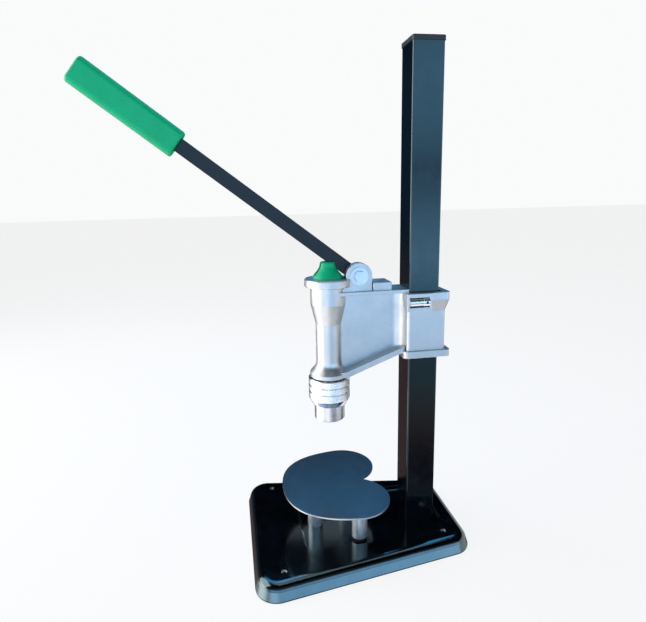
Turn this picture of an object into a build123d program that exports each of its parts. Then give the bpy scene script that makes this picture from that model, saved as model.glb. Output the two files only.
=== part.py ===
"""Bench crimping press: a lever presses a spring-returned ram that slides in a head on a square column.

Frame: +Z up, bench at z = 0, origin under the ram axis, +Y towards the column, +X to one side.
All sizes are millimetres.
"""

import os
from math import cos, radians, sin, tan

from build123d import *

# ---------------------------------------------------------------- base
base_front = 112.6  # ram axis to the front edge
base_back = 176.4  # ram axis to the back edge
base_front_width = 242.4
base_back_width = 149.8
base_height = 19.4  # bench to the deck
base_draft = 5.6  # how far the skirt leans in
base_corner_r = 28.0
base_edge_r = 11.0
sheet = 3.0  # pressed sheet of the pan
skirt_lift = 1.5  # the rubber trim holds the skirt off the bench
recess_half_width = 59.0
recess_front = -45.0
recess_back = 151.0
recess_depth = 4.0
recess_slope = 3.0
recess_front_r = 14.0
recess_back_r = 36.0
bench_hole_r = 3.5
bench_hole_inset = 25.85  # in from the slanted side, along X
bench_hole_from_front = 35.9
bench_hole_from_back = 34.1
trim_thickness = 2.0
trim_height = 8.0
trim_inset = 0.3

# ---------------------------------------------------------------- column
column_side = 40.0
column_wall = 2.0
column_corner_r = 2.5
column_y = 122.3
column_top = 642.0
column_cap_thickness = 6.0
column_cap_overhang = 1.0
column_plug_depth = 16.0
column_plug_wall = 2.5
column_plug_gap = 0.05
column_cap_edge_r = 1.5
foot_block_height = 24.0
foot_block_gap = 0.1
tube_inner_corner_r = 0.8
insert_corner_r = 1.5  # corners of what goes inside the tube
column_bolt_pitch = 20.0
column_bolt_length = 26.0
clamp_plate_thickness = 3.0
clamp_plate_extra = 4.0  # longer than the column is deep
clamp_plate_corner_r = 4.0

# ---------------------------------------------------------------- M8 and M6 fasteners
m8_r = 4.0
m8_flats = 13.0
m8_head = 5.3
m8_nut = 6.5
m8_hole_gap = 0.3
m6_r = 3.0
m6_flats = 10.0
m6_head = 4.0
m6_washer_r = 6.2
m6_washer_thickness = 1.2
m6_hole_gap = 0.2
hex_key = 3.0

# ---------------------------------------------------------------- bottle stand
plate_top = 75.0
plate_thickness = 2.0
plate_lobe_x = 40.3
plate_lobe_y = 25.2
plate_lobe_r = 44.5
plate_point_y = -66.6
plate_lobe_end = -4.5  # degrees round the lobe where the side begins
post_r = 10.3
post_pad_height = 4.0
post_pad_inset = 0.4
back_posts = [(41.0, 30.0), (-41.0, 30.0)]  # these two stand on pads
front_post = (0.0, -23.0)  # this one stands on the deck
stud_length = 16.0
post_screw_length = 22.0

# ---------------------------------------------------------------- head casting
head_bottom = 232.5
head_top = 341.0
barrel_r = 16.5
barrel_foot_r = 25.0
barrel_foot_height = 20.0
barrel_foot_edge = 5.0
cup_r = 22.6
cup_floor_gap = 2.0  # under the cap at full stroke
cup_bottom = 329.0
cup_taper = 26.0
lip_bottom = 352.0
lip_top = 362.0
lip_r = 30.0
lip_edge = 1.0
cap_clearance = 0.6  # round the cap in the cup
ram_bush_wall = 4.5
web_half = 5.0
web_flare_r = 14.0
top_flange_half = 20.0
top_flange_thickness = 4.5
low_flange_half = 20.0
low_flange_thickness = 7.5
low_flange_front = (20.0, 233.0)
low_flange_back_z = 262.5
low_flange_back_gap = 1.6  # short of the sleeve's front
top_flange_front = 10.0
sleeve_wall = 4.2
sleeve_front_wall = 3.4
sleeve_back_wall = 3.8
sleeve_bottom = 255.5
sleeve_flange_height = 9.0
sleeve_corner_r = 4.0
sleeve_rim = 3.5  # how far the rims stand out at the sides
sleeve_rim_front = 2.1  # and at the front of the top one
sleeve_rim_back = 5.0
sleeve_rim_height = 10.0
sleeve_rim_taper = 14.0
sleeve_foot_front = 5.0
sleeve_foot_back = 6.5
sleeve_rim_corner_r = 6.0
sleeve_gap = 0.3  # sliding clearance round the column
gib_thickness = 4.0
gib_half_width = 15.0
gib_end_gap = 6.0
gib_play = 0.1
gib_screw_stand = 1.5  # beyond its boss
gib_screw_z = (288.0, 316.0)
gib_boss_r = 7.0
gib_boss_height = 3.5
stop_block = (55.6, 80.1, 355.5)  # front, back and top

# ---------------------------------------------------------------- lock cam in the side pocket
lock_r = 6.0
lock_z = 329.5
lock_clearance = 0.4
lock_pocket_front = 0.9  # behind the sleeve's front
lock_pocket_length = 27.0
lock_pocket_wall = 3.0
lock_boss_stand = 5.5  # out from the sleeve's side
lock_boss_bottom = 318.0
lock_end_gap = 0.3
lock_journal_r = 3.0
lock_journal_length = 2.5
lock_head_length = 8.0
lock_flat_depth = 1.4
tommy_hole_r = 1.8

# ---------------------------------------------------------------- lever and its pivot
pivot_y = 37.5
pivot_z = 365.0
pivot_r = 4.0
ear_r = 16.8
ear_half = 16.0
ear_toe = 7.0  # how far the ear's foot runs forward of its round
far_ear_r = 12.5
far_ear_outer = 11.0  # from the middle plane to the far ear's outer face
lever_angle = 37.7  # above level at rest
lever_above = 7.5  # pivot line to the bar's upper edge
lever_below = 9.3  # pivot line to the bar's lower edge
lever_thickness = 8.0
lever_gap = 0.7  # each side of the bar between the ears
lever_hub_r = 11.0
lever_bush_wall = 2.0
lever_length = 395.0  # pivot to the end of the bar
grip_start = 267.0
grip_end = 401.0
grip_height_inner = 33.0
grip_height_outer = 33.0
grip_drop = 1.0  # its middle below the bar's
grip_width = 25.0
grip_corner_r = 7.0
grip_end_r = 4.0
grip_mouth_r = 2.5
washer_thickness = 1.6
washer_r = 11.5
far_washer_r = 9.5

# ---------------------------------------------------------------- ram, cap and return spring
ram_r = 8.0
ram_bottom = 216.0
ram_tip_r = 5.0
ram_rest_gap = 0.75  # between the lever and the tip at rest
ram_travel = 21.5
cap_base = 362.0
cap_top = 383.2
cap_base_r = 19.0
cap_top_r = 10.0
cap_edge = 1.5
cap_waist = (11.6, 374.8)  # radius and height where the flare begins
cap_flare = (15.9, 369.0)  # and half-way down it
cap_slot_floor = 366.5
cap_spigot_wall = 3.5
cap_spigot_depth = 3.0
cap_tip_gap = 0.4  # each side of the ram's tip in the slot
bush_height = 28.0
spring_wire_r = 1.0
spring_gap = 1.2  # round the ram
spring_turns = 11
run_gap = 0.05  # radial clearance of a running fit

# ---------------------------------------------------------------- crimping bell and its ring
ring_r = 27.2
ring_top = 231.0
ring_side_bottom = 203.0
ring_bottom = 194.0
ring_bottom_r = 22.4
ring_grooves = (212.5, 221.5)
ring_groove_width = 1.6
ring_groove_depth = 1.2
ring_edge = 1.2
ring_gap = 0.1  # round the bell
ring_thread_r = 23.4
bell_r = 20.0
bell_bottom = 173.0
bell_flange_r = 24.5
bell_wall_top = 203.0
bell_wall_bottom = 197.5
throat_mouth_r = 16.8
throat_r = 14.2
throat_depth = 9.0
bell_edge = 1.2
mouth_edge = 1.5
holder_top = 229.0
plunger_r = 13.0
plunger_bottom = 183.5
plunger_thickness = 6.0
plunger_stem_r = 5.0
plunger_travel = 4.4
plunger_clearance = 0.3  # left above the clip at full travel
stem_stand = 0.8  # of the plunger's stem above its clip
stem_room = 1.0  # round the stem in the holder
clip_room = 1.5  # round the clip in the bell
magnet_r = 9.0
magnet_thickness = 3.0
ejector_wire_r = 0.6
ejector_mean_r = 7.6
ejector_turns = 3
clip_r = 7.5
clip_thickness = 1.2
clip_gap = 0.1  # above the bell's wall at rest

# ---------------------------------------------------------------- places worked out from the above
recess_floor = base_height - recess_depth
deck_under = base_height - sheet
floor_under = recess_floor - sheet
column_half = column_side / 2
bore_front = column_y - column_half - sleeve_gap
bore_back = column_y + column_half + sleeve_gap + gib_thickness
bore_half = column_half + sleeve_gap
sleeve_half = bore_half + sleeve_wall
sleeve_front = bore_front - sleeve_front_wall
sleeve_back = bore_back + sleeve_back_wall
low_flange_back = (sleeve_front - low_flange_back_gap, low_flange_back_z)
lock_x = column_half + lock_clearance + lock_r
pocket_front = sleeve_front + lock_pocket_front
pocket_back = pocket_front + lock_pocket_length
pocket_middle = (pocket_front + pocket_back) / 2
lock_boss_half = sleeve_half + lock_boss_stand
flange_top = head_top + top_flange_thickness
ear_gap_half = lever_thickness / 2 + lever_gap
cap_slot_half = ear_gap_half
ram_bore_r = ram_r + ram_bush_wall
cap_spigot_r = ram_r + cap_spigot_wall
spring_mean_r = ram_r + spring_gap + spring_wire_r
lever_height = lever_above + lever_below
lever_middle = (lever_above - lever_below) / 2  # the bar's middle from the pivot line
rest = radians(lever_angle)
tip_touch_z = (
    pivot_z + pivot_y * tan(rest) - (lever_below + ram_tip_r) / cos(rest)
)  # height of the tip's centre when it touches the bar
ram_tip_z = tip_touch_z - ram_rest_gap
cup_floor = cap_base - ram_travel - cup_floor_gap
bush_top = head_bottom + bush_height
clip_bottom = bell_wall_top + clip_gap
bell_flange_top = clip_bottom + clip_thickness + plunger_travel + plunger_clearance
spring_top = cap_base - cap_spigot_depth
post_places = [*back_posts, front_post]


def bench_hole(y):
    """A bench hole's place at this depth, set in from the base's slanted side."""
    share = (y + base_front) / (base_front + base_back)
    half_width = (base_front_width + (base_back_width - base_front_width) * share) / 2
    return half_width - bench_hole_inset, y


bench_holes = [bench_hole(bench_hole_from_front - base_front), bench_hole(base_back - bench_hole_from_back)]
lever_plane = Plane(
    origin=(0, pivot_y, pivot_z),
    x_dir=(0, -cos(rest), sin(rest)),
    z_dir=(-1, 0, 0),
)  # x along the bar, y square to it and upwards

upright = (Align.CENTER, Align.CENTER, Align.MIN)

os.makedirs("parts", exist_ok=True)


def save(part, name):
    """Label a finished piece and write it."""
    part.label = name
    export_step(part, f"parts/{name}.step")


def pan_section(z, inset, corner):
    """The base outline at height z, drawn in from the bottom edge by inset."""
    front, back = base_front_width / 2, base_back_width / 2
    with BuildSketch(Plane.XY.offset(z)) as section:
        Polygon(
            (-front, -base_front),
            (front, -base_front),
            (back, base_back),
            (-back, base_back),
            align=None,
        )
        offset(amount=-inset, kind=Kind.INTERSECTION)
        fillet(section.vertices(), corner)
    return section.sketch


def skirt_inside(z, inset):
    """The skirt's inner face at height z, drawn in by a further inset."""
    lean = base_draft * (z - skirt_lift) / (deck_under - skirt_lift)
    total = sheet + lean + inset
    return pan_section(z, total, base_corner_r - total)


def recess_section(z, inset):
    """The outline of the deck's sunk panel at height z."""
    x = recess_half_width - inset
    front, back = recess_front + inset, recess_back - inset
    with BuildSketch(Plane.XY.offset(z)) as section:
        Polygon((-x, front), (x, front), (x, back), (-x, back), align=None)
        rows = section.vertices().group_by(Axis.Y)
        fillet(rows[0], recess_front_r - inset)
        fillet(section.vertices().group_by(Axis.Y)[-1], recess_back_r - inset)
    return section.sketch


def sleeve_section(z, sides=0.0, front=0.0, back=0.0):
    """The sleeve's outline at height z, standing out by the given amounts."""
    y0, y1 = sleeve_front - front, sleeve_back + back
    corner = sleeve_rim_corner_r if sides else sleeve_corner_r
    with BuildSketch(Plane.XY.offset(z)) as section:
        with Locations((0, (y0 + y1) / 2)):
            RectangleRounded(2 * (sleeve_half + sides), y1 - y0, corner)
    return section.sketch


def hex_sketch(plane, across_flats):
    """A hexagon of a bolt head or a nut."""
    with BuildSketch(plane) as outline:
        RegularPolygon(across_flats / 2, 6, major_radius=False)
    return outline.sketch


def coil(bottom, top, mean_r, wire_r, turns):
    """A compression spring whose wire's ends lie on its end planes."""
    low, high = bottom + wire_r, top - wire_r
    with BuildPart() as spring:
        with BuildLine(Plane.XY.offset(low)) as path:
            Helix(pitch=(high - low) / turns, height=high - low, radius=mean_r)
        with BuildSketch(Plane(origin=path.line @ 0, z_dir=path.line % 0)):
            Circle(wire_r)
        sweep(path=path.line, is_frenet=True)
    return spring.part


# ================================================================ base
with BuildPart() as base_pan:
    loft(
        [
            pan_section(skirt_lift, 0, base_corner_r),
            pan_section(base_height, base_draft, base_corner_r - base_draft),
        ],
        ruled=True,
    )
    fillet(base_pan.faces().sort_by(Axis.Z)[-1].edges(), base_edge_r)
    with BuildPart(mode=Mode.PRIVATE) as cavity:
        loft(
            [
                pan_section(skirt_lift, sheet, base_corner_r - sheet),
                pan_section(deck_under, base_draft + sheet, base_corner_r - base_draft - sheet),
            ],
            ruled=True,
        )
        fillet(cavity.faces().sort_by(Axis.Z)[-1].edges(), base_edge_r - sheet)
        loft(
            [
                recess_section(deck_under + sheet, -sheet),
                recess_section(floor_under, recess_slope - sheet),
            ],
            ruled=True,
            mode=Mode.SUBTRACT,
        )
    add(cavity.part, mode=Mode.SUBTRACT)
    loft(
        [recess_section(base_height, 0), recess_section(recess_floor, recess_slope)],
        ruled=True,
        mode=Mode.SUBTRACT,
    )
    with BuildSketch():
        for x, y in bench_holes:
            with Locations((x, y), (-x, y)):
                Circle(bench_hole_r)
        with Locations(*post_places):
            Circle(m6_r + m8_hole_gap)
        with Locations((0, column_y)):
            with GridLocations(0, column_bolt_pitch, 1, 2):
                Circle(m8_r + m8_hole_gap)
    extrude(amount=base_height, mode=Mode.SUBTRACT)
save(base_pan.part, "base_pan")

with BuildPart() as edge_trim:
    inner = sheet + trim_thickness
    extrude(pan_section(0, trim_inset, base_corner_r - trim_inset), amount=skirt_lift)
    loft([skirt_inside(skirt_lift, 0), skirt_inside(trim_height, 0)], ruled=True)
    extrude(pan_section(0, inner, base_corner_r - inner), amount=skirt_lift, mode=Mode.SUBTRACT)
    loft(
        [skirt_inside(skirt_lift, trim_thickness), skirt_inside(trim_height, trim_thickness)],
        ruled=True,
        mode=Mode.SUBTRACT,
    )
save(edge_trim.part, "edge_trim")

# ================================================================ column
with BuildPart() as column:
    with BuildSketch(Plane.XY.offset(recess_floor)):
        with Locations((0, column_y)):
            RectangleRounded(column_side, column_side, column_corner_r)
            RectangleRounded(
                column_side - 2 * column_wall,
                column_side - 2 * column_wall,
                tube_inner_corner_r,
                mode=Mode.SUBTRACT,
            )
    extrude(amount=column_top - recess_floor)
save(column.part, "column")

inner_side = column_side - 2 * column_wall
with BuildPart() as column_foot_block:
    with BuildSketch(Plane.XY.offset(recess_floor)):
        with Locations((0, column_y)):
            block_side = inner_side - 2 * foot_block_gap
            RectangleRounded(block_side, block_side, insert_corner_r)
            with GridLocations(0, column_bolt_pitch, 1, 2):
                Circle(m8_r, mode=Mode.SUBTRACT)
    extrude(amount=foot_block_height)
save(column_foot_block.part, "column_foot_block")

with BuildPart() as column_clamp_plate:
    with BuildSketch(Plane.XY.offset(floor_under - clamp_plate_thickness)):
        with Locations((0, column_y)):
            RectangleRounded(column_side, column_side + clamp_plate_extra, clamp_plate_corner_r)
            with GridLocations(0, column_bolt_pitch, 1, 2):
                Circle(m8_r + m8_hole_gap, mode=Mode.SUBTRACT)
    extrude(amount=clamp_plate_thickness)
save(column_clamp_plate.part, "column_clamp_plate")

with BuildPart() as column_bolts:
    head_z = floor_under - clamp_plate_thickness - m8_head
    for side in (-1, 1):
        y = column_y + side * column_bolt_pitch / 2
        extrude(hex_sketch(Plane((0, y, head_z)), m8_flats), amount=m8_head)
        with Locations((0, y, head_z)):
            Cylinder(m8_r, m8_head + column_bolt_length, align=upright)
save(column_bolts.part, "column_bolts")

with BuildPart() as column_cap:
    cap_side = column_side + 2 * column_cap_overhang
    with BuildSketch(Plane.XY.offset(column_top)):
        with Locations((0, column_y)):
            RectangleRounded(cap_side, cap_side, column_corner_r + column_cap_overhang)
    extrude(amount=column_cap_thickness)
    fillet(column_cap.faces().sort_by(Axis.Z)[-1].edges(), column_cap_edge_r)
    with BuildSketch(Plane.XY.offset(column_top)):
        with Locations((0, column_y)):
            plug_side = inner_side - 2 * column_plug_gap
            hollow_side = plug_side - 2 * column_plug_wall
            RectangleRounded(plug_side, plug_side, insert_corner_r)
            RectangleRounded(hollow_side, hollow_side, insert_corner_r / 2, mode=Mode.SUBTRACT)
    extrude(amount=-column_plug_depth)
save(column_cap.part, "column_cap")

# ================================================================ bottle stand
with BuildPart() as heart_plate:
    with BuildSketch(Plane.XY.offset(plate_top - plate_thickness)) as heart:
        with BuildLine():
            # one half: up the middle to the cleft, round the lobe and along the side to the point
            reach = (plate_lobe_r**2 - plate_lobe_x**2) ** 0.5
            middle = Line((0, plate_point_y), (0, plate_lobe_y + reach))
            lobe_centre = Vector(plate_lobe_x, plate_lobe_y)
            lobe = ThreePointArc(
                middle @ 1,
                lobe_centre + Vector(plate_lobe_r, 0).rotate(Axis.Z, 45),
                lobe_centre + Vector(plate_lobe_r, 0).rotate(Axis.Z, plate_lobe_end),
            )
            Spline(lobe @ 1, middle @ 0, tangents=[lobe % 1, (-1, 0)])
        make_face()
        mirror(about=Plane.YZ)
    extrude(amount=plate_thickness)
save(heart_plate.part, "heart_plate")

post_top = plate_top - plate_thickness
with BuildPart() as stand_posts:
    for place, bottom in (
        (back_posts[0], recess_floor + post_pad_height),
        (back_posts[1], recess_floor + post_pad_height),
        (front_post, recess_floor),
    ):
        with BuildSketch(Plane.XY.offset(bottom)):
            with Locations(place):
                Circle(post_r)
                Circle(m6_r, mode=Mode.SUBTRACT)
        extrude(amount=post_top - bottom)
save(stand_posts.part, "stand_posts")

with BuildPart() as post_pads:
    with BuildSketch(Plane.XY.offset(recess_floor)):
        with Locations(*back_posts):
            Circle(post_r - post_pad_inset)
            Circle(m6_r + m6_hole_gap, mode=Mode.SUBTRACT)
    extrude(amount=post_pad_height)
save(post_pads.part, "post_pads")

with BuildPart() as plate_studs:
    with Locations(*[(x, y, post_top) for x, y in post_places]):
        Cylinder(m6_r, stud_length, align=(Align.CENTER, Align.CENTER, Align.MAX))
save(plate_studs.part, "plate_studs")

with BuildPart() as post_screws:
    for x, y in post_places:
        head_z = floor_under - m6_washer_thickness - m6_head
        extrude(hex_sketch(Plane((x, y, head_z)), m6_flats), amount=m6_head)
        with Locations((x, y, head_z)):
            Cylinder(m6_r, m6_head + post_screw_length, align=upright)
save(post_screws.part, "post_screws")

with BuildPart() as post_washers:
    with BuildSketch(Plane.XY.offset(floor_under - m6_washer_thickness)):
        with Locations(*post_places):
            Circle(m6_washer_r)
            Circle(m6_r + m6_hole_gap, mode=Mode.SUBTRACT)
    extrude(amount=m6_washer_thickness)
save(post_washers.part, "post_washers")

# ================================================================ head casting
with BuildPart() as head_casting:
    # barrel with its foot, spring cup and lip
    with BuildSketch(Plane.XZ):
        with BuildLine():
            Polyline(
                (0, head_bottom),
                (barrel_foot_r, head_bottom),
                (barrel_foot_r, head_bottom + barrel_foot_edge),
            )
            foot = Spline(
                (barrel_foot_r, head_bottom + barrel_foot_edge),
                (barrel_r, head_bottom + barrel_foot_height),
                tangents=[(-0.6, 1), (0, 1)],
            )
            Polyline(
                foot @ 1,
                (barrel_r, cup_bottom - cup_taper),
                (cup_r, cup_bottom),
                (cup_r, lip_bottom - lip_edge),
                (lip_r - lip_edge, lip_bottom),
                (lip_r, lip_bottom + lip_edge),
                (lip_r, lip_top - lip_edge),
                (lip_r - lip_edge, lip_top),
                (0, lip_top),
                (0, head_bottom),
            )
        make_face()
    revolve(axis=Axis.Z)

    # web from the barrel to the sleeve, flaring into the sleeve's front
    with BuildPart(mode=Mode.PRIVATE) as web:
        with BuildSketch(Plane.XY.offset(head_bottom)):
            with BuildLine():
                flare_start = sleeve_front - web_flare_r
                Polyline((0, 0), (web_half, 0), (web_half, flare_start))
                RadiusArc(
                    (web_half, flare_start),
                    (web_half + web_flare_r, sleeve_front),
                    web_flare_r,
                )
                Polyline(
                    (web_half + web_flare_r, sleeve_front),
                    (web_half + web_flare_r, bore_front),
                    (0, bore_front),
                    (0, 0),
                )
            make_face()
            mirror(about=Plane.YZ)
        extrude(amount=flange_top - head_bottom)
        with BuildSketch(Plane.YZ):
            Polygon(
                (0, head_bottom + 3),
                low_flange_front,
                low_flange_back,
                (sleeve_back, low_flange_back[1]),
                (sleeve_back, flange_top),
                (0, flange_top),
                align=None,
            )
        extrude(amount=lip_r, both=True, mode=Mode.INTERSECT)
    add(web.part)

    # sloping lower flange and level upper flange
    with BuildSketch(Plane.YZ):
        y0, z0 = low_flange_front
        y1, z1 = low_flange_back
        Polygon(
            (0, z0),
            (y0, z0),
            (y1, z1),
            (y1, z1 + low_flange_thickness),
            (y0 - 2, z0 + low_flange_thickness),
            (0, z0 + low_flange_thickness),
            align=None,
        )
    extrude(amount=low_flange_half, both=True)
    with BuildSketch(Plane.XY.offset(head_top)):
        with Locations((0, (top_flange_front + bore_front) / 2)):
            Rectangle(2 * top_flange_half, bore_front - top_flange_front)
    extrude(amount=top_flange_thickness)

    # sleeve round the column with its foot flange and tapered top rim
    extrude(sleeve_section(sleeve_bottom), amount=head_top - sleeve_bottom)
    extrude(
        sleeve_section(sleeve_bottom, sleeve_rim, sleeve_foot_front, sleeve_foot_back),
        amount=sleeve_flange_height,
    )
    rim_low = head_top - sleeve_rim_height
    top_rim = sleeve_section(rim_low, sleeve_rim, sleeve_rim_front, sleeve_rim_back)
    extrude(top_rim, amount=sleeve_rim_height)
    loft([top_rim, sleeve_section(rim_low - sleeve_rim_taper)], ruled=True)

    # ears of the lever's pivot, the stop block behind them and the lock boss
    for outer, radius in ((ear_half, ear_r), (-far_ear_outer, far_ear_r)):
        with BuildSketch(Plane.YZ):
            with Locations((pivot_y, pivot_z)):
                Circle(radius)
            Polygon(
                (pivot_y - ear_r - ear_toe, head_top),
                (pivot_y + radius, head_top),
                (pivot_y + radius, pivot_z),
                (pivot_y - radius * 0.6, pivot_z + radius * 0.5),
                align=None,
            )
        extrude(amount=outer)
    block_front, block_back, block_top = stop_block
    with Locations((0, (block_front + block_back) / 2, head_top)):
        Box(
            2 * ear_half,
            block_back - block_front,
            block_top - head_top,
            align=upright,
        )
    with Locations((bore_half, pocket_middle, lock_boss_bottom)):
        Box(
            lock_boss_half - bore_half,
            lock_pocket_length + 2 * lock_pocket_wall,
            head_top - lock_boss_bottom,
            align=(Align.MIN, Align.CENTER, Align.MIN),
        )
    for z in gib_screw_z:
        with Locations(Location((0, bore_back, z), (-90, 0, 0))):
            Cylinder(gib_boss_r, sleeve_back_wall + gib_boss_height, align=upright)

    # bores and cuts
    with BuildSketch(Plane.XY.offset(sleeve_bottom)):
        with Locations((0, (bore_front + bore_back) / 2)):
            Rectangle(2 * bore_half, bore_back - bore_front)
    extrude(amount=head_top - sleeve_bottom + 1, mode=Mode.SUBTRACT)
    with Locations((0, 0, head_bottom)):
        Cylinder(ram_bore_r, lip_top, align=upright, mode=Mode.SUBTRACT)
    with Locations((0, 0, cup_floor)):
        Cylinder(
            cap_base_r + cap_clearance,
            lip_top,
            align=upright,
            mode=Mode.SUBTRACT,
        )
    with Locations((0, block_front, flange_top)):
        Box(
            2 * ear_gap_half,
            block_front - ram_bore_r,
            3 * ear_r,
            align=(Align.CENTER, Align.MAX, Align.MIN),
            mode=Mode.SUBTRACT,
        )
    with Locations(Location((0, pivot_y, pivot_z), (0, 90, 0))):
        Cylinder(pivot_r + run_gap, 4 * ear_half, mode=Mode.SUBTRACT)
    with Locations((column_half, pocket_middle, lock_z)):
        Box(
            2 * lock_boss_half,
            lock_pocket_length,
            2 * (lock_r + lock_clearance),
            align=(Align.MIN, Align.CENTER, Align.CENTER),
            mode=Mode.SUBTRACT,
        )
    for y, turn in ((pocket_front, 90), (pocket_back, -90)):
        with Locations(Location((lock_x, y, lock_z), (turn, 0, 0))):
            Cylinder(
                lock_journal_r + run_gap,
                lock_journal_length,
                align=upright,
                mode=Mode.SUBTRACT,
            )
    for z in gib_screw_z:
        with Locations(Location((0, sleeve_back, z), (90, 0, 0))):
            Cylinder(m6_r, 4 * gib_boss_height, mode=Mode.SUBTRACT)
save(head_casting.part, "head_casting")

with BuildPart() as ram_bush:
    with BuildSketch(Plane.XY.offset(head_bottom)):
        Circle(ram_bore_r)
        Circle(ram_r + run_gap, mode=Mode.SUBTRACT)
    extrude(amount=bush_height)
save(ram_bush.part, "ram_bush")

with BuildPart() as gib_plate:
    gib_y = bore_back - gib_thickness
    with Locations((0, gib_y, sleeve_bottom + gib_end_gap)):
        Box(
            2 * gib_half_width,
            gib_thickness - gib_play,
            head_top - sleeve_bottom - 2 * gib_end_gap,
            align=(Align.CENTER, Align.MIN, Align.MIN),
        )
save(gib_plate.part, "gib_plate")

with BuildPart() as gib_screws:
    screw_end = sleeve_back + gib_boss_height + gib_screw_stand
    for z in gib_screw_z:
        with Locations(Location((0, bore_back - gib_play, z), (-90, 0, 0))):
            Cylinder(m6_r, screw_end - bore_back, align=upright)
        extrude(
            hex_sketch(Plane((0, screw_end, z), z_dir=(0, -1, 0)), hex_key),
            amount=hex_key,
            mode=Mode.SUBTRACT,
        )
save(gib_screws.part, "gib_screws")

with BuildPart() as lock_cam:
    y0, y1 = pocket_front + lock_end_gap, pocket_back - lock_end_gap
    with Locations(Location((lock_x, y0, lock_z), (-90, 0, 0))):
        Cylinder(lock_r - lock_clearance, y1 - y0 - lock_head_length, align=upright)
    with Locations(Location((lock_x, y1, lock_z), (90, 0, 0))):
        Cylinder(lock_r, lock_head_length, align=upright)
    with Locations(Location((lock_x, pocket_middle, lock_z), (90, 0, 0))):
        Cylinder(lock_journal_r, lock_pocket_length + 2 * (lock_journal_length - lock_end_gap))
    # the flat that clears the column when the cam is turned, and the tommy-bar hole
    with Locations((lock_x, y0, lock_z + lock_r - lock_flat_depth)):
        Box(
            2 * lock_r,
            y1 - y0 - lock_head_length,
            lock_r,
            align=(Align.CENTER, Align.MIN, Align.MIN),
            mode=Mode.SUBTRACT,
        )
    with Locations(Location((lock_x, y1 - lock_head_length / 2, lock_z), (0, 90, 0))):
        Cylinder(tommy_hole_r, 4 * lock_r, mode=Mode.SUBTRACT)
save(lock_cam.part, "lock_cam")

# ================================================================ pivot
near_face = ear_half + washer_thickness
far_face = far_ear_outer + washer_thickness
with BuildPart() as pivot_bolt:
    with BuildSketch(Plane((near_face, pivot_y, pivot_z), x_dir=(0, 1, 0), z_dir=(1, 0, 0))):
        Circle(pivot_r)
    extrude(amount=-(near_face + far_face + m8_nut + 1))
    extrude(
        hex_sketch(Plane((near_face, pivot_y, pivot_z), x_dir=(0, 1, 0), z_dir=(1, 0, 0)), m8_flats),
        amount=m8_head,
    )
save(pivot_bolt.part, "pivot_bolt")

with BuildPart() as pivot_nut:
    extrude(
        hex_sketch(Plane((-far_face, pivot_y, pivot_z), x_dir=(0, 1, 0), z_dir=(-1, 0, 0)), m8_flats),
        amount=m8_nut,
    )
    with Locations(Location((-far_face, pivot_y, pivot_z), (0, 90, 0))):
        Cylinder(pivot_r, 3 * m8_nut, mode=Mode.SUBTRACT)
save(pivot_nut.part, "pivot_nut")

with BuildPart() as pivot_washers:
    for side, face, radius in ((1, ear_half, washer_r), (-1, far_ear_outer, far_washer_r)):
        plane = Plane((side * face, pivot_y, pivot_z), x_dir=(0, 1, 0), z_dir=(side, 0, 0))
        with BuildSketch(plane):
            Circle(radius)
            Circle(pivot_r + m6_hole_gap, mode=Mode.SUBTRACT)
        extrude(amount=washer_thickness)
save(pivot_washers.part, "pivot_washers")

# ================================================================ lever
bush_r = pivot_r + lever_bush_wall
with BuildPart() as lever_bar:
    with BuildSketch(lever_plane):
        Circle(lever_hub_r)
        with Locations((lever_length / 2, lever_middle)):
            Rectangle(lever_length, lever_height)
        Circle(bush_r, mode=Mode.SUBTRACT)
    extrude(amount=lever_thickness / 2, both=True)
save(lever_bar.part, "lever_bar")

with BuildPart() as lever_bush:
    with BuildSketch(lever_plane):
        Circle(bush_r)
        Circle(pivot_r + run_gap, mode=Mode.SUBTRACT)
    extrude(amount=lever_thickness / 2 + lever_gap - 0.3, both=True)
save(lever_bush.part, "lever_bush")

with BuildPart() as lever_grip:
    ends = []
    for x, height in ((grip_start, grip_height_inner), (grip_end, grip_height_outer)):
        middle = lever_plane.from_local_coords(Vector(x, lever_middle - grip_drop, 0))
        plane = Plane(middle, x_dir=(1, 0, 0), z_dir=lever_plane.x_dir)
        with BuildSketch(plane, mode=Mode.PRIVATE) as end:
            RectangleRounded(grip_width, height, grip_corner_r)
        ends.append(end.sketch)
    loft(ends, ruled=True)
    fillet(lever_grip.faces().sort_by(Axis.Y)[0].edges(), grip_end_r)
    fillet(lever_grip.faces().sort_by(Axis.Y)[-1].edges(), grip_mouth_r)
    with BuildSketch(lever_plane):
        with Locations((lever_length / 2, lever_middle)):
            Rectangle(lever_length, lever_height)
    extrude(amount=lever_thickness / 2, both=True, mode=Mode.SUBTRACT)
save(lever_grip.part, "lever_grip")

# ================================================================ ram
with BuildPart() as ram_rod:
    with Locations((0, 0, ram_bottom)):
        Cylinder(ram_r, cap_slot_floor - ram_bottom, align=upright)
    with BuildSketch(Plane.YZ):
        with Locations((0, ram_tip_z)):
            Circle(ram_tip_r)
        with Locations((0, (cap_slot_floor + ram_tip_z) / 2)):
            Rectangle(2 * ram_tip_r, ram_tip_z - cap_slot_floor)
    extrude(amount=cap_slot_half - cap_tip_gap, both=True)
save(ram_rod.part, "ram_rod")

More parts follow.
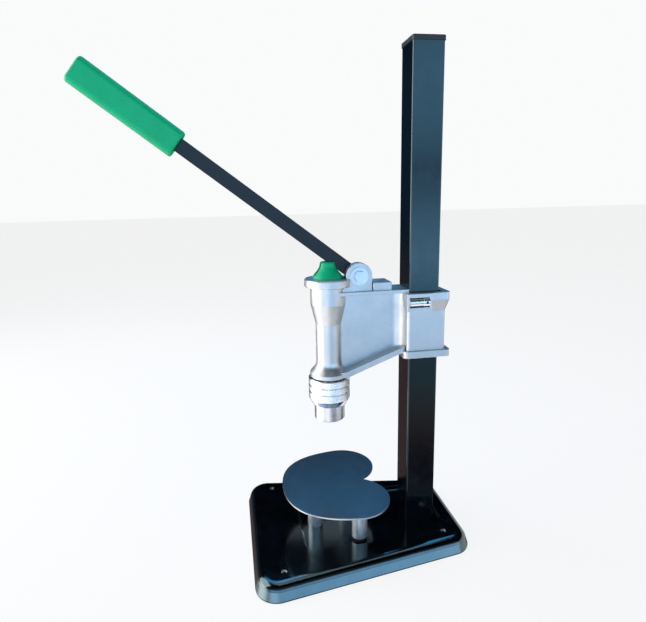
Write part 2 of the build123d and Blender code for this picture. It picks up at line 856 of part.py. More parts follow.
with BuildPart() as ram_cap:
    with BuildSketch(Plane.XZ):
        with BuildLine():
            Polyline(
                (cap_top_r, cap_top - cap_edge),
                (cap_top_r - cap_edge, cap_top),
                (0, cap_top),
                (0, cap_base - cap_spigot_depth),
                (cap_spigot_r, cap_base - cap_spigot_depth),
                (cap_spigot_r, cap_base),
                (cap_base_r, cap_base),
                (cap_base_r, cap_base + cap_edge),
            )
            Spline(
                (cap_base_r, cap_base + cap_edge),
                cap_flare,
                cap_waist,
                (cap_top_r, cap_top - cap_edge),
                tangents=[(-0.2, 1), (-0.1, 1)],
            )
        make_face()
    revolve(axis=Axis.Z)
    with Locations((0, 0, cap_base - cap_spigot_depth)):
        Cylinder(
            ram_r,
            cap_slot_floor - cap_base + cap_spigot_depth,
            align=upright,
            mode=Mode.SUBTRACT,
        )
    with Locations((0, 0, cap_slot_floor)):
        Box(
            2 * cap_slot_half,
            4 * cap_base_r,
            40,
            align=upright,
            mode=Mode.SUBTRACT,
        )
save(ram_cap.part, "ram_cap")

save(coil(bush_top, spring_top, spring_mean_r, spring_wire_r, spring_turns), "return_spring")

# ================================================================ crimping bell
with BuildPart() as bell_holder:
    with BuildSketch(Plane.XY.offset(bell_flange_top)):
        Circle(ring_thread_r)
    extrude(amount=holder_top - bell_flange_top)
    with Locations((0, 0, ram_bottom)):
        Cylinder(ram_r, 40, align=upright, mode=Mode.SUBTRACT)
    with Locations((0, 0, bell_flange_top)):
        Cylinder(
            plunger_stem_r + stem_room,
            40,
            align=upright,
            mode=Mode.SUBTRACT,
        )
save(bell_holder.part, "bell_holder")

with BuildPart() as bell:
    with BuildSketch(Plane.XZ):
        Polygon(
            (throat_mouth_r + mouth_edge, bell_bottom),
            (bell_r - bell_edge, bell_bottom),
            (bell_r, bell_bottom + bell_edge),
            (bell_r, ring_side_bottom),
            (bell_flange_r, ring_side_bottom),
            (bell_flange_r, bell_flange_top),
            (clip_r + clip_room, bell_flange_top),
            (clip_r + clip_room, bell_wall_top),
            (plunger_stem_r + run_gap, bell_wall_top),
            (plunger_stem_r + run_gap, bell_wall_bottom),
            (throat_r, bell_wall_bottom),
            (throat_r, bell_bottom + throat_depth),
            (throat_mouth_r, bell_bottom + mouth_edge),
            align=None,
        )
    revolve(axis=Axis.Z)
save(bell.part, "bell")

with BuildPart() as knurled_ring:
    with BuildSketch(Plane.XZ):
        Polygon(
            (bell_r + run_gap + ring_gap, ring_bottom),
            (ring_bottom_r, ring_bottom),
            (ring_r, ring_side_bottom),
            (ring_r, ring_top - ring_edge),
            (ring_r - ring_edge, ring_top),
            (ring_thread_r + run_gap, ring_top),
            (ring_thread_r + run_gap, bell_flange_top + run_gap),
            (bell_flange_r + ring_gap, bell_flange_top + run_gap),
            (bell_flange_r + ring_gap, ring_side_bottom - run_gap),
            (bell_r + run_gap + ring_gap, ring_side_bottom - run_gap),
            align=None,
        )
        for z in ring_grooves:
            with Locations((ring_r, z)):
                Rectangle(2 * ring_groove_depth, ring_groove_width, mode=Mode.SUBTRACT)
    revolve(axis=Axis.Z)
save(knurled_ring.part, "knurled_ring")

plunger_top = plunger_bottom + plunger_thickness
with BuildPart() as magnet_plunger:
    with BuildSketch(Plane.XY.offset(plunger_bottom)):
        Circle(plunger_r)
    extrude(amount=plunger_thickness)
    with Locations((0, 0, plunger_bottom)):
        Cylinder(
            magnet_r,
            magnet_thickness,
            align=upright,
            mode=Mode.SUBTRACT,
        )
    with Locations((0, 0, plunger_top)):
        Cylinder(
            plunger_stem_r,
            clip_bottom + clip_thickness + stem_stand - plunger_top,
            align=upright,
        )
save(magnet_plunger.part, "magnet_plunger")

with BuildPart() as cap_magnet:
    with Locations((0, 0, plunger_bottom)):
        Cylinder(magnet_r, magnet_thickness, align=upright)
save(cap_magnet.part, "cap_magnet")

with BuildPart() as plunger_clip:
    with BuildSketch(Plane.XY.offset(clip_bottom)):
        Circle(clip_r)
        Circle(plunger_stem_r, mode=Mode.SUBTRACT)
    extrude(amount=clip_thickness)
save(plunger_clip.part, "plunger_clip")

save(
    coil(plunger_top, bell_wall_bottom, ejector_mean_r, ejector_wire_r, ejector_turns),
    "plunger_spring",
)
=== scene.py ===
"""Looks of the bench crimping press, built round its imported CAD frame. Lengths are metres."""

from math import cos, radians, sin, tau

import bpy
from mathutils import Matrix, Vector


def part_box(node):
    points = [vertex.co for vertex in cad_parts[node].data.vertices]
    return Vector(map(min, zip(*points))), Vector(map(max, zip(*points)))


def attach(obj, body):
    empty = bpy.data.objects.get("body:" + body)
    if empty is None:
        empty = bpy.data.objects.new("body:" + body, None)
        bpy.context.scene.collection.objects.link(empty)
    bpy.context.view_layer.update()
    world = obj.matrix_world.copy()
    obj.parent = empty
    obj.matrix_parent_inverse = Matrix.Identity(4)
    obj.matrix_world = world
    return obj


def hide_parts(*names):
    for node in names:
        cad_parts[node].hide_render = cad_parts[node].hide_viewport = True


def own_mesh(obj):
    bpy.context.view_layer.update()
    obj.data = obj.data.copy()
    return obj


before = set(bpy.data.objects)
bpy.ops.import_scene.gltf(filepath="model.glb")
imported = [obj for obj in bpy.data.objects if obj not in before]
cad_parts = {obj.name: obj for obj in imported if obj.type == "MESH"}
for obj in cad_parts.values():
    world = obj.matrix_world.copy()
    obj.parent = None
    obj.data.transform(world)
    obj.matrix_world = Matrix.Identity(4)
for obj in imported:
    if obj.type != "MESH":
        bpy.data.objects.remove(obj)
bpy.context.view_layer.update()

MM = 0.001
FRAME_WIDTH_PX = 646
SENSOR_MM = 36.0

# ---------------------------------------------------------------- camera
CAMERA_PLACE = Vector((620.64, -120.91, 466.52)) * MM
CAMERA_AZIMUTH = radians(81.03)  # 0 looks along +Y
CAMERA_DOWN = radians(11.03)
CAMERA_ROLL = radians(-1.32)
CAMERA_FOCAL_PX = 501.18
CAMERA_SHIFT = (0.0199, -0.0282)
CAMERA_CLIP = (0.01, 50.0)

# ---------------------------------------------------------------- lights and floor
ENERGY_PER_RADIANCE = 4  # for each square metre of an area light
SOFTBOXES = (  # name, place, target, size, radiance, colour
    ("front_box", (-0.25, -1.25, 0.95), (0, 0, 0.30), (1.5, 1.5), 2.0, (1.0, 0.99, 0.97)),
    ("top_box", (-0.15, 0.15, 1.75), (0, 0, 0.2), (1.2, 1.2), 0.6, (0.92, 0.96, 1.0)),
    ("far_box", (-0.68, 0.0, 1.30), (0, 0, 0.08), (1.6, 0.65), 1.6, (0.10, 0.50, 1.0)),
)
FLOOR_HALF = 12.0
FLOOR_ROUGHNESS = 0.9
PALE_FLOOR = (0.15, 0.86)  # tone and glow
# painted shade: a dark, unlit board laid on the floor under the base in place of its shadow
PAINTED_SHADE_FLOOR = (0.05, 0.0)
PAINTED_SHADE_INSET = 12 * MM  # from the base's edge to the floor's patch of painted shade
PAINTED_SHADE_BACK_HALF = 62 * MM  # the painted shade patch's half width at the back, where the base is narrow
BACKDROP = (0.95, 0.96, 0.96)

# ---------------------------------------------------------------- what reflections see
# Colours by height: stops from straight down (0) to straight up (1).
WINDOW_COLOURS = (
    (0.00, (0.01, 0.01, 0.01)),
    (0.26, (0.01, 0.005, 0.01)),
    (0.29, (0.08, 0.045, 0.035)),
    (0.32, (0.06, 0.08, 0.10)),
    (0.38, (0.05, 0.085, 0.13)),
    (0.43, (0.25, 0.42, 0.63)),
    (0.47, (0.19, 0.32, 0.47)),
    (0.52, (0.08, 0.13, 0.21)),
    (0.56, (0.16, 0.29, 0.43)),
    (0.61, (0.19, 0.33, 0.50)),
    (0.72, (0.03, 0.05, 0.07)),
    (0.80, (0.01, 0.015, 0.02)),
)
ROOM_COLOURS = (
    (0.0, (0.10, 0.07, 0.06)),
    (0.34, (0.15, 0.095, 0.09)),
    (0.46, (0.012, 0.035, 0.070)),
    (0.61, (0.012, 0.035, 0.070)),
    (0.65, (0.0, 0.0, 0.0)),
)
# Each lobe of light has spans, a strength and a colour. A span rises from 0 to 1 as the direction's
# part along its axis goes from the first number to the second, and a lobe shines where its spans overlap.
LOBES = (
    # a blue window on the +X side
    ((("X", 0.45, 0.85),), 5.0, WINDOW_COLOURS),
    # the pale wall beside it
    ((("Z", -0.55, -0.3), ("Z", 0.45, 0.2), ("Y", 0.5, 0.75)), 1.0, (0.92, 0.96, 1.0)),
    # the pale table in front, out of sight of the column's dark face
    ((("Y", 0.1, -0.3), ("Z", 0.1, -0.15), ("X", -0.8, -0.6)), 0.85, (1.0, 1.0, 1.0)),
    # the pale bench below
    ((("Z", -0.52, -0.68),), 1.3, (0.95, 0.98, 1.0)),
    # a narrow bright window straight in front, that lines the left edges
    ((("Z", -0.68, -0.5), ("Z", 0.42, 0.25), ("Y", -0.75, -1.0)), 3.2, (0.97, 0.98, 1.0)),
    # the dim room beyond the press: blue at eye height, warm below
    ((("X", -0.5, -0.85),), 1.0, ROOM_COLOURS),
)

# ---------------------------------------------------------------- finishes
BEVEL_SAMPLES = 4
EDGE_ALIKE = (0.995, 0.80)  # how alike the rounded and the flat normals are off an edge and on it
MIDDLE = (0.3, 0.7)  # the values that fractal noise mostly keeps to
DUST = (0.35, 0.36, 0.36)
RUBBED_CAST = (0.93, 0.94, 0.95)
SCUFF_KEEP, SCUFF_LIFT = 0.75, 0.18  # how a scuff pales the plastic's colour
PLASTIC_IOR = 1.5
RUBBER_IOR = 1.45
RUBBER_BLACK, RUBBER_BLOOM = (0.010, 0.010, 0.011), (0.026, 0.026, 0.027)
BLUE_SHEEN = (0.68, 0.95, 1.0)
ALONG_Z = (1, 1, 0.03)  # noise scale that draws tool marks out along an axis
ALONG_X = (0.03, 1, 1)
EVEN = (1, 1, 1)

# ---------------------------------------------------------------- ring and springs, in millimetres
RING_BANDS = ((203.6, 211.4), (213.6, 220.4), (222.6, 229.4))  # heights of the knurled bands
RING_GROOVES = (212.5, 221.5)
RING_GROOVE_HALF = 0.8
RING_GROOVE_DEPTH = 1.2
RING_GROOVE_SECTION = (  # heights in half widths, and shares of the depth
    (-1.3, 0),
    (-1, 0.25),
    (-1, 1),
    (1, 1),
    (1, 0.25),
    (1.3, 0),
)
RING_GROOVE_CLEAR = (0.3, 0.5)  # rows stop this far below a groove and start this far above it
RING_ROW = 0.4  # height of one row of the knurled face
RING_TAPER_TOP = 203.0
RING_FOOT_R = 22.4
RING_EDGE = 1.2
RING_EDGE_BULGE = 0.35  # the rounded top edge's middle point, as a share of the edge
RING_BREAK = 0.4  # the small chamfers
RING_FOOT_BREAK = 0.3
RING_BORE_R, RING_BORE_TOP = 20.2, 202.9
RING_THREAD_R, RING_THREAD_BOTTOM = 23.5, 211.0
KNURL_DEPTH = 0.3
KNURL_COUNT = 96
KNURL_RISE = 1.9  # height in which a groove crosses one knurl
KNURL_FADE = 0.6  # from a band's edge to the full depth
KNURL_SLOPE = 1.6  # steepness of the groove's sides
RING_STEPS = 8 * KNURL_COUNT  # corners in each row
COIL_STEPS = 32  # in each turn
COIL_SIDES = 12
COIL_CLOSED = 0.7  # turns at each end that lie nearly flat
COIL_END_RISE = 0.95  # of such an end, in wire radii
RETURN_WIRE_R = 1.0
RETURN_TURNS = 11
PLUNGER_WIRE_R = 0.6
PLUNGER_TURNS = 3


# ================================================================ camera, lights and floor
def add_camera():
    """The camera, at the photograph's angle."""
    back = Vector(
        (
            sin(CAMERA_AZIMUTH) * cos(CAMERA_DOWN),
            -cos(CAMERA_AZIMUTH) * cos(CAMERA_DOWN),
            sin(CAMERA_DOWN),
        )
    )
    right = (-back).cross(Vector((0, 0, 1))).normalized()
    up = right.cross(-back)
    rolled_right = right * cos(CAMERA_ROLL) + up * sin(CAMERA_ROLL)
    rolled_up = up * cos(CAMERA_ROLL) - right * sin(CAMERA_ROLL)
    turn = Matrix((rolled_right, rolled_up, back)).transposed().to_4x4()
    data = bpy.data.cameras.new("camera")
    data.sensor_width = SENSOR_MM
    data.lens = SENSOR_MM * CAMERA_FOCAL_PX / FRAME_WIDTH_PX
    data.shift_x, data.shift_y = CAMERA_SHIFT
    data.clip_start, data.clip_end = CAMERA_CLIP
    camera = bpy.data.objects.new("camera", data)
    camera.matrix_world = Matrix.Translation(CAMERA_PLACE) @ turn
    bpy.context.scene.collection.objects.link(camera)
    bpy.context.scene.camera = camera


def add_softbox(name, place, target, size, radiance, colour):
    """A rectangular area light of the given radiance, aimed at target."""
    data = bpy.data.lights.new(name, "AREA")
    data.shape = "RECTANGLE"
    data.size, data.size_y = size
    data.energy = ENERGY_PER_RADIANCE * size[0] * size[1] * radiance
    data.color = colour
    light = bpy.data.objects.new(name, data)
    aim = (Vector(target) - Vector(place)).to_track_quat("-Z", "Y")
    light.matrix_world = Matrix.Translation(Vector(place)) @ aim.to_matrix().to_4x4()
    light.visible_camera = False
    bpy.context.scene.collection.objects.link(light)


def floor_material(name, tone, glow):
    """Matt board with a glow of its own, which may be 0."""
    material = bpy.data.materials.new(name)
    material.use_nodes = True
    shader = material.node_tree.nodes["Principled BSDF"]
    shader.inputs["Base Color"].default_value = (tone, tone, tone, 1)
    shader.inputs["Roughness"].default_value = FLOOR_ROUGHNESS
    shader.inputs["Specular IOR Level"].default_value = 0.0
    shader.inputs["Emission Color"].default_value = (1, 1, 1, 1)
    shader.inputs["Emission Strength"].default_value = glow
    return material


def add_floor():
    """A plain pale floor that runs out to the horizon, with a patch of painted shade where the base covers
    it.
    """
    half = FLOOR_HALF
    low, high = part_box("base_pan")
    front, back = low.y + PAINTED_SHADE_INSET, high.y - PAINTED_SHADE_INSET
    wide, narrow = high.x - PAINTED_SHADE_INSET, PAINTED_SHADE_BACK_HALF
    verts = [(-half, -half, 0), (half, -half, 0), (half, half, 0), (-half, half, 0)]
    verts += [(-wide, front, 0), (wide, front, 0), (narrow, back, 0), (-narrow, back, 0)]
    faces = [(i, (i + 1) % 4, (i + 1) % 4 + 4, i + 4) for i in range(4)]
    mesh = bpy.data.meshes.new("floor")
    mesh.from_pydata(verts, [], [*faces, (4, 5, 6, 7)])
    mesh.materials.append(floor_material("pale_floor", *PALE_FLOOR))
    # the inner face under the base gets the painted shade, a dark board without glow
    mesh.materials.append(floor_material("painted_shade_floor", *PAINTED_SHADE_FLOOR))
    mesh.polygons[-1].material_index = 1
    floor = bpy.data.objects.new("floor", mesh)
    floor.visible_glossy = False
    bpy.context.scene.collection.objects.link(floor)


def add_world():
    """A pale backdrop to the eye; to reflections, a dark room with the lobes of light."""
    world = bpy.data.worlds.new("studio")
    bpy.context.scene.world = world
    world.use_nodes = True
    tree = world.node_tree
    tree.nodes.clear()
    links = tree.links
    place = tree.nodes.new("ShaderNodeTexCoord")
    split = tree.nodes.new("ShaderNodeSeparateXYZ")
    links.new(place.outputs["Generated"], split.inputs[0])

    def span(axis, low, high, kind="SMOOTHSTEP"):
        """0 to 1 as the direction's part along the axis goes from low to high."""
        made = tree.nodes.new("ShaderNodeMapRange")
        made.interpolation_type = kind
        links.new(split.outputs[axis], made.inputs["Value"])
        made.inputs["From Min"].default_value = low
        made.inputs["From Max"].default_value = high
        return made.outputs[0]

    def times(first, second):
        made = tree.nodes.new("ShaderNodeMath")
        made.operation = "MULTIPLY"
        links.new(first, made.inputs[0])
        if isinstance(second, float):
            made.inputs[1].default_value = second
        else:
            links.new(second, made.inputs[1])
        return made.outputs[0]

    def by_height(stops):
        """A colour that goes through the stops as the direction turns from down to up."""
        band = tree.nodes.new("ShaderNodeValToRGB")
        links.new(span("Z", -1.0, 1.0, "LINEAR"), band.inputs["Fac"])
        ends = band.color_ramp.elements
        ends[0].position, ends[0].color = stops[0][0], (*stops[0][1], 1)
        ends[1].position, ends[1].color = stops[-1][0], (*stops[-1][1], 1)
        for position, colour in stops[1:-1]:
            ends.new(position).color = (*colour, 1)
        return band.outputs["Color"]

    def lobe(spans, strength, colour):
        """Light of one colour, or of colours by height, where the spans overlap."""
        level = span(*spans[0])
        for more in spans[1:]:
            level = times(level, span(*more))
        made = tree.nodes.new("ShaderNodeBackground")
        if isinstance(colour[0], tuple):
            links.new(by_height(colour), made.inputs["Color"])
        else:
            made.inputs["Color"].default_value = (*colour, 1)
        links.new(times(level, strength), made.inputs["Strength"])
        return made.outputs[0]

    studio = lobe(*LOBES[0])
    for row in LOBES[1:]:
        made = tree.nodes.new("ShaderNodeAddShader")
        links.new(studio, made.inputs[0])
        links.new(lobe(*row), made.inputs[1])
        studio = made.outputs[0]

    backdrop = tree.nodes.new("ShaderNodeBackground")
    backdrop.inputs["Color"].default_value = (*BACKDROP, 1)
    path = tree.nodes.new("ShaderNodeLightPath")
    choose = tree.nodes.new("ShaderNodeMixShader")
    links.new(path.outputs["Is Camera Ray"], choose.inputs["Fac"])
    links.new(studio, choose.inputs[1])
    links.new(backdrop.outputs[0], choose.inputs[2])
    output = tree.nodes.new("ShaderNodeOutputWorld")
    links.new(choose.outputs[0], output.inputs["Surface"])


# ================================================================ materials
class Finish:
    """A node material under construction, with its shader and the nodes that all finishes share."""

    def __init__(self, name, **sockets):
        self.material = bpy.data.materials.new(name)
        self.material.use_nodes = True
        self.tree = self.material.node_tree
        self.shader = self.tree.nodes["Principled BSDF"]
        for key, value in sockets.items():
            self.shader.inputs[key.replace("_", " ")].default_value = value
        self.place = self.node("ShaderNodeTexCoord").outputs["Object"]
        self.normal = None

    def node(self, kind, **values):
        made = self.tree.nodes.new(kind)
        for key, value in values.items():
            setattr(made, key, value)
        return made

    def link(self, source, target):
        self.tree.links.new(source, target)

    def noise(self, scale, detail=4.0, roughness=0.55, stretch=EVEN, span=None, to=(0.0, 1.0)):
        """Fractal noise of scale features per metre, with its span, if given, spread over to."""
        mapping = self.node("ShaderNodeMapping")
        mapping.inputs["Scale"].default_value = stretch
        self.link(self.place, mapping.inputs["Vector"])
        made = self.node("ShaderNodeTexNoise")
        made.inputs["Scale"].default_value = scale
        made.inputs["Detail"].default_value = detail
        made.inputs["Roughness"].default_value = roughness
        self.link(mapping.outputs[0], made.inputs["Vector"])
        if span is None:
            return made.outputs["Fac"]
        return self.remap(made.outputs["Fac"], span, to)

    def remap(self, value, span, to=(0.0, 1.0)):
        """The value with its span spread over to, and held at the ends."""
        made = self.node("ShaderNodeMapRange")
        self.link(value, made.inputs["Value"])
        for key, number in zip(("From Min", "From Max", "To Min", "To Max"), (*span, *to)):
            made.inputs[key].default_value = number
        return made.outputs[0]

    def join(self, kind, first, second):
        """Multiply, add or otherwise join two values; the second may be a number."""
        made = self.node("ShaderNodeMath", operation=kind)
        self.link(first, made.inputs[0])
        if isinstance(second, float):
            made.inputs[1].default_value = second
        else:
            self.link(second, made.inputs[1])
        return made.outputs[0]

    def blend(self, share, first, second):
        """A colour between first and second; each is a colour or a node's output."""
        made = self.node("ShaderNodeMix", data_type="RGBA")
        self.link(share, made.inputs["Factor"])
        for socket, colour in ((made.inputs[6], first), (made.inputs[7], second)):
            if isinstance(colour, tuple):
                socket.default_value = (*colour, 1)
            else:
                self.link(colour, socket)
        return made.outputs[2]

    def over(self, tone, colour, mask, share):
        """The tone with a share of a colour laid over it where the mask is 1."""
        return self.blend(self.join("MULTIPLY", mask, share), tone, colour)

    def round_edges(self, radius):
        """Soften the CAD edges in the shading, and return a mask that is 1 on them."""
        bevel = self.node("ShaderNodeBevel", samples=BEVEL_SAMPLES)
        bevel.inputs["Radius"].default_value = radius
        self.normal = bevel.outputs[0]
        flat = self.node("ShaderNodeNewGeometry").outputs["Normal"]
        alike = self.node("ShaderNodeVectorMath", operation="DOT_PRODUCT")
        self.link(bevel.outputs[0], alike.inputs[0])
        self.link(flat, alike.inputs[1])
        return self.remap(alike.outputs["Value"], EDGE_ALIKE)

    def bump(self, height, strength, distance):
        """Add a layer of relief."""
        made = self.node("ShaderNodeBump")
        made.inputs["Strength"].default_value = strength
        made.inputs["Distance"].default_value = distance
        self.link(height, made.inputs["Height"])
        if self.normal is not None:
            self.link(self.normal, made.inputs["Normal"])
        self.normal = made.outputs[0]

    def colour(self, output):
        self.link(output, self.shader.inputs["Base Color"])

    def roughness(self, output):
        self.link(output, self.shader.inputs["Roughness"])

    def done(self):
        if self.normal is not None:
            self.link(self.normal, self.shader.inputs["Normal"])
        return self.material


def enamel(name, dark, light, edge, ior, gloss, tint=(1, 1, 1)):
    """Stoved gloss paint: faint orange peel, uneven gloss, rubbed edges and fine dust."""
    f = Finish(name, IOR=ior, Specular_Tint=(*tint, 1))
    worn = f.round_edges(radius=0.6 * MM)
    rub = f.join("MULTIPLY", worn, f.noise(scale=240, detail=5, roughness=0.7, span=(0.48, 0.66)))
    dust = f.noise(scale=900, detail=2, roughness=0.7, span=(0.66, 0.78))
    tone = f.blend(f.noise(scale=28, detail=5, span=MIDDLE), dark, light)
    tone = f.over(tone, DUST, mask=dust, share=0.06)
    f.colour(f.over(tone, edge, mask=rub, share=0.5))
    smudge = f.noise(scale=45, detail=6, roughness=0.65, span=(0.35, 0.75), to=(gloss, gloss + 0.09))
    f.roughness(f.join("ADD", smudge, f.join("MULTIPLY", rub, 0.25)))
    f.bump(f.noise(scale=420, detail=2), strength=0.05, distance=0.2 * MM)
    return f.done()


def cast_metal(name, light, dark, recess):
    """Satin cast aluminium: sandy skin, flow marks and brighter rubbed edges."""
    f = Finish(name, Metallic=1.0)
    worn = f.round_edges(radius=1.4 * MM)
    pits = f.noise(scale=1300, detail=2, roughness=0.6, span=(0.62, 0.74))
    tone = f.blend(f.noise(scale=36, detail=6, roughness=0.6, span=MIDDLE), dark, light)
    tone = f.over(tone, recess, mask=pits, share=0.35)
    f.colour(f.over(tone, RUBBED_CAST, mask=worn, share=0.55))
    haze = f.noise(scale=90, detail=5, span=MIDDLE, to=(0.36, 0.5))
    f.roughness(f.join("SUBTRACT", haze, f.join("MULTIPLY", worn, 0.12)))
    f.bump(f.noise(scale=650, detail=5, roughness=0.65), strength=0.16, distance=0.35 * MM)
    f.bump(f.noise(scale=60, detail=3), strength=0.1, distance=1.2 * MM)
    return f.done()


def turned_metal(name, light, dark, rough, stretch=EVEN, scale=900, uneven=0.14):
    """Machined or polished metal with fine tool marks and faint handling marks."""
    f = Finish(name, Metallic=1.0)
    worn = f.round_edges(radius=0.3 * MM)
    tone = f.blend(f.noise(scale=55, detail=5, roughness=0.6, span=MIDDLE), dark, light)
    f.colour(f.over(tone, light, mask=worn, share=0.5))
    f.roughness(f.noise(scale=130, detail=5, roughness=0.7, span=(0.3, 0.75), to=(rough, rough + uneven)))
    marks = f.noise(scale=scale, detail=3, roughness=0.7, stretch=stretch)
    f.bump(marks, strength=0.06, distance=0.08 * MM)
    return f.done()


def plastic(name, base, deep, rough, grain, specular=0.5):
    """Moulded plastic: slightly clouded colour, fine mould grain and a few scuffs."""
    f = Finish(name, Specular_IOR_Level=specular, IOR=PLASTIC_IOR)
    worn = f.round_edges(radius=0.8 * MM)
    pale = tuple(min(1.0, SCUFF_KEEP * c + SCUFF_LIFT) for c in base)
    scuff = f.noise(scale=70, detail=8, roughness=0.8, stretch=(1, 6, 1), span=(0.62, 0.72))
    tone = f.blend(f.noise(scale=60, detail=5, roughness=0.6, span=MIDDLE), deep, base)
    tone = f.over(tone, pale, mask=scuff, share=0.12)
    f.colour(f.over(tone, pale, mask=worn, share=0.12))
    f.roughness(f.noise(scale=110, detail=5, span=MIDDLE, to=(rough, rough + 0.12)))
    f.bump(f.noise(scale=1500, detail=2), strength=grain, distance=0.1 * MM)
    return f.done()


def rubber(name):
    """Matt black rubber with bloom."""
    f = Finish(name, IOR=RUBBER_IOR)
    bloom = f.noise(scale=90, detail=6, roughness=0.7, span=(0.35, 0.75))
    f.colour(f.blend(bloom, RUBBER_BLACK, RUBBER_BLOOM))
    f.roughness(f.noise(scale=200, detail=4, span=MIDDLE, to=(0.62, 0.8)))
    f.bump(f.noise(scale=1100, detail=3), strength=0.2, distance=0.15 * MM)
    return f.done()


FINISHES = {
    "black_enamel": enamel(
        "black_enamel",
        dark=(0.001, 0.001, 0.002),
        light=(0.003, 0.003, 0.004),
        edge=(0.10, 0.11, 0.12),
        ior=2.2,
        gloss=0.09,
        tint=BLUE_SHEEN,
    ),
    "column_enamel": enamel(
        "column_enamel",
        dark=(0.001, 0.002, 0.003),
        light=(0.001, 0.003, 0.005),
        edge=(0.12, 0.13, 0.14),
        ior=1.65,
        gloss=0.10,
        tint=BLUE_SHEEN,
    ),
    "lever_paint": enamel(
        "lever_paint",
        dark=(0.002, 0.004, 0.009),
        light=(0.004, 0.008, 0.014),
        edge=(0.12, 0.13, 0.15),
        ior=1.42,
        gloss=0.32,
    ),
    "cast_aluminium": cast_metal(
        "cast_aluminium",
        light=(0.66, 0.66, 0.66),
        dark=(0.58, 0.59, 0.59),
        recess=(0.38, 0.39, 0.40),
    ),
    "bright_steel": turned_metal(
        "bright_steel",
        light=(0.90, 0.90, 0.91),
        dark=(0.76, 0.77, 0.79),
        rough=0.20,
        stretch=ALONG_Z,
    ),
    "polished_steel": turned_metal(
        "polished_steel",
        light=(0.50, 0.55, 0.60),
        dark=(0.46, 0.51, 0.56),
        rough=0.29,
        stretch=ALONG_X,
        scale=1400,
        uneven=0.04,
    ),
    "satin_steel": turned_metal(
        "satin_steel",
        light=(0.92, 0.93, 0.94),
        dark=(0.82, 0.84, 0.86),
        rough=0.38,
        stretch=ALONG_Z,
    ),
    "zinc_steel": turned_metal(
        "zinc_steel",
        light=(0.80, 0.82, 0.84),
        dark=(0.62, 0.65, 0.70),
        rough=0.30,
        scale=500,
    ),
    "spring_steel": turned_metal(
        "spring_steel",
        light=(0.52, 0.52, 0.53),
        dark=(0.36, 0.36, 0.38),
        rough=0.28,
        scale=700,
    ),
    "bronze": turned_metal(
        "bronze",
        light=(0.72, 0.46, 0.22),
        dark=(0.52, 0.32, 0.15),
        rough=0.30,
        stretch=ALONG_Z,
    ),
    "magnet": turned_metal(
        "magnet",
        light=(0.70, 0.70, 0.72),
        dark=(0.52, 0.52, 0.55),
        rough=0.24,
        scale=600,
    ),
    "green_plastic": plastic(
        "green_plastic",
        base=(0.0, 0.47, 0.20),
        deep=(0.0, 0.42, 0.17),
        rough=0.32,
        grain=0.10,
        specular=0.3,
    ),
    "grey_plastic": plastic(
        "grey_plastic",
        base=(0.020, 0.022, 0.026),
        deep=(0.012, 0.013, 0.016),
        rough=0.42,
        grain=0.25,
    ),
    "white_nylon": plastic(
        "white_nylon",
        base=(0.78, 0.77, 0.73),
        deep=(0.68, 0.67, 0.62),
        rough=0.45,
        grain=0.12,
    ),
    "black_rubber": rubber("black_rubber"),
}
OWN_FINISH = {"stand_posts": "satin_steel"}  # in place of the finish that the node's slot names


def dress_nodes():
    """Give each CAD node its own finish, or that of the material slot that it came with."""
    for name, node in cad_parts.items():
        for slot in node.material_slots:
            key = OWN_FINISH.get(name, slot.material.name.split(".")[0])
            slot.material = FINISHES.get(key, FINISHES["bright_steel"])


# ================================================================ pieces made here
def add_piece(name, verts, faces, slot, body, node):
    """A finished mesh that stands for a CAD node and rides on its body."""
    mesh = bpy.data.meshes.new(name)
    mesh.from_pydata(verts, [], faces)
    mesh.materials.append(FINISHES[slot])
    mesh.polygons.foreach_set("use_smooth", [True] * len(mesh.polygons))
    mesh.update()
    piece = bpy.data.objects.new(name, mesh)
    bpy.context.scene.collection.objects.link(piece)
    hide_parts(node)
    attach(piece, body)
    return piece


def wave(value):
    """A triangle wave that runs 0, 1, 0 over each whole step."""
    part = value % 1.0
    return 1.0 - abs(2.0 * part - 1.0)


def knurl(angle, z):
    """Depth cut at a point of the ring's face by two crossing sets of V grooves."""
    for low, high in RING_BANDS:
        if low <= z <= high:
            round_share = KNURL_COUNT * angle / tau
            rise = (z - low) / KNURL_RISE
            peak = min(wave(round_share + rise), wave(round_share - rise))
            fade = min(1.0, (z - low) / KNURL_FADE, (high - z) / KNURL_FADE)
            return KNURL_DEPTH * fade * (1.0 - min(1.0, KNURL_SLOPE * peak))
    return 0.0


def ring_profile():
    """The ring's outer radius, and its section from the bore's top down and round to the thread's bottom."""
    low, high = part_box("knurled_ring")
    radius, top, bottom = high.x / MM, high.z / MM, low.z / MM
    points = [
        (RING_BORE_R, RING_BORE_TOP),
        (RING_BORE_R, bottom + RING_BREAK),
        (RING_BORE_R + RING_BREAK, bottom),
        (RING_FOOT_R - RING_BREAK, bottom),
        (RING_FOOT_R, bottom + RING_FOOT_BREAK),
        (radius - RING_FOOT_BREAK, RING_TAPER_TOP - RING_BREAK),
    ]
    stop_below, start_above = RING_GROOVE_CLEAR
    z = RING_TAPER_TOP + RING_ROW / 2
    while z < top - RING_EDGE - RING_ROW / 4:
        centre = min(RING_GROOVES, key=lambda groove: abs(z - groove))
        if abs(z - centre) < RING_GROOVE_HALF + stop_below:
            for offset, depth in RING_GROOVE_SECTION:
                points.append((radius - depth * RING_GROOVE_DEPTH, centre + offset * RING_GROOVE_HALF))
            z = centre + RING_GROOVE_HALF + start_above
        else:
            points.append((radius, z))
            z += RING_ROW
    points += [
        (radius, top - RING_EDGE),
        (radius - RING_EDGE_BULGE * RING_EDGE, top - RING_EDGE_BULGE * RING_EDGE),
        (radius - RING_EDGE, top),
        (RING_THREAD_R + RING_BREAK, top),
        (RING_THREAD_R, top - RING_BREAK),
        (RING_THREAD_R, RING_THREAD_BOTTOM),
    ]
    return radius, points


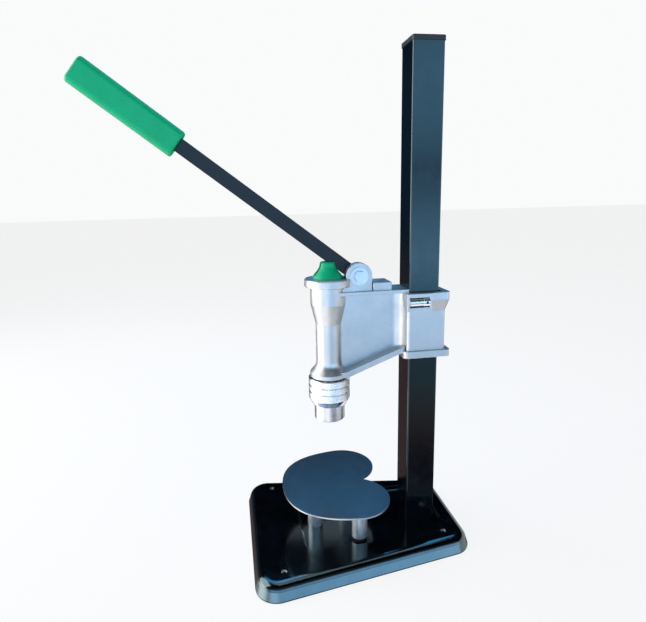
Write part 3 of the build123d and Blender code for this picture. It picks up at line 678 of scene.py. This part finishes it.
def add_ring():
    """The crimping head's ring nut, with crossed knurling on its three bands."""
    radius, points = ring_profile()
    verts, faces = [], []
    for r, z in points:
        for i in range(RING_STEPS):
            angle = tau * i / RING_STEPS
            cut = knurl(angle, z) if r == radius else 0.0
            verts.append(((r - cut) * cos(angle) * MM, (r - cut) * sin(angle) * MM, z * MM))
    for row in range(len(points) - 1):
        for i in range(RING_STEPS):
            a = row * RING_STEPS + i
            b = row * RING_STEPS + (i + 1) % RING_STEPS
            faces.append((a, b, b + RING_STEPS, a + RING_STEPS))
    last = (len(points) - 1) * RING_STEPS
    faces += [(last + i, last + (i + 1) % RING_STEPS, (i + 1) % RING_STEPS, i) for i in range(RING_STEPS)]
    add_piece("knurled_ring_nut", verts, faces, "bright_steel", "ring", "knurled_ring")


def add_coil(name, node, wire_r, turns, body):
    """A compression spring with closed ends, that rides on its body."""
    low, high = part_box(node)
    middle = Vector(((low.x + high.x) / 2, (low.y + high.y) / 2))
    mean_r = (high.x - low.x) / 2 - wire_r * MM
    bottom, top = low.z + wire_r * MM, high.z - wire_r * MM
    end_rise = COIL_END_RISE * wire_r * MM
    steps = int(turns * COIL_STEPS)

    def height(turn):
        share = min(max((turn - COIL_CLOSED) / (turns - 2 * COIL_CLOSED), 0.0), 1.0)
        past_start = min(turn, COIL_CLOSED) / COIL_CLOSED
        into_end = max(turn - (turns - COIL_CLOSED), 0.0) / COIL_CLOSED
        return bottom + (top - bottom - 2 * end_rise) * share + end_rise * (past_start + into_end)

    verts, faces = [], []
    for k in range(steps + 1):
        turn = k / COIL_STEPS
        outward = Vector((cos(tau * turn), sin(tau * turn), 0))
        centre = Vector((middle.x, middle.y, height(turn))) + outward * mean_r
        for j in range(COIL_SIDES):
            side = tau * j / COIL_SIDES
            verts.append(centre + (outward * cos(side) + Vector((0, 0, sin(side)))) * wire_r * MM)
    for k in range(steps):
        for j in range(COIL_SIDES):
            a, b = k * COIL_SIDES + j, k * COIL_SIDES + (j + 1) % COIL_SIDES
            faces.append((a, a + COIL_SIDES, b + COIL_SIDES, b))
    faces.append(tuple(range(COIL_SIDES)))
    faces.append(tuple(reversed(range(steps * COIL_SIDES, (steps + 1) * COIL_SIDES))))
    piece = add_piece(name, verts, faces, "spring_steel", body, node)
    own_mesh(piece)


def add_springs():
    """The ram's return spring and the magnet plunger's spring."""
    wire_r, turns = RETURN_WIRE_R, RETURN_TURNS
    add_coil("return_coil", "return_spring", wire_r, turns, "head")
    wire_r, turns = PLUNGER_WIRE_R, PLUNGER_TURNS
    add_coil("plunger_coil", "plunger_spring", wire_r, turns, "ram")


# ================================================================ the scene
bpy.context.scene.view_settings.view_transform = "Standard"
add_camera()
add_world()
add_floor()
for softbox in SOFTBOXES:
    add_softbox(*softbox)
dress_nodes()
add_ring()
add_springs()
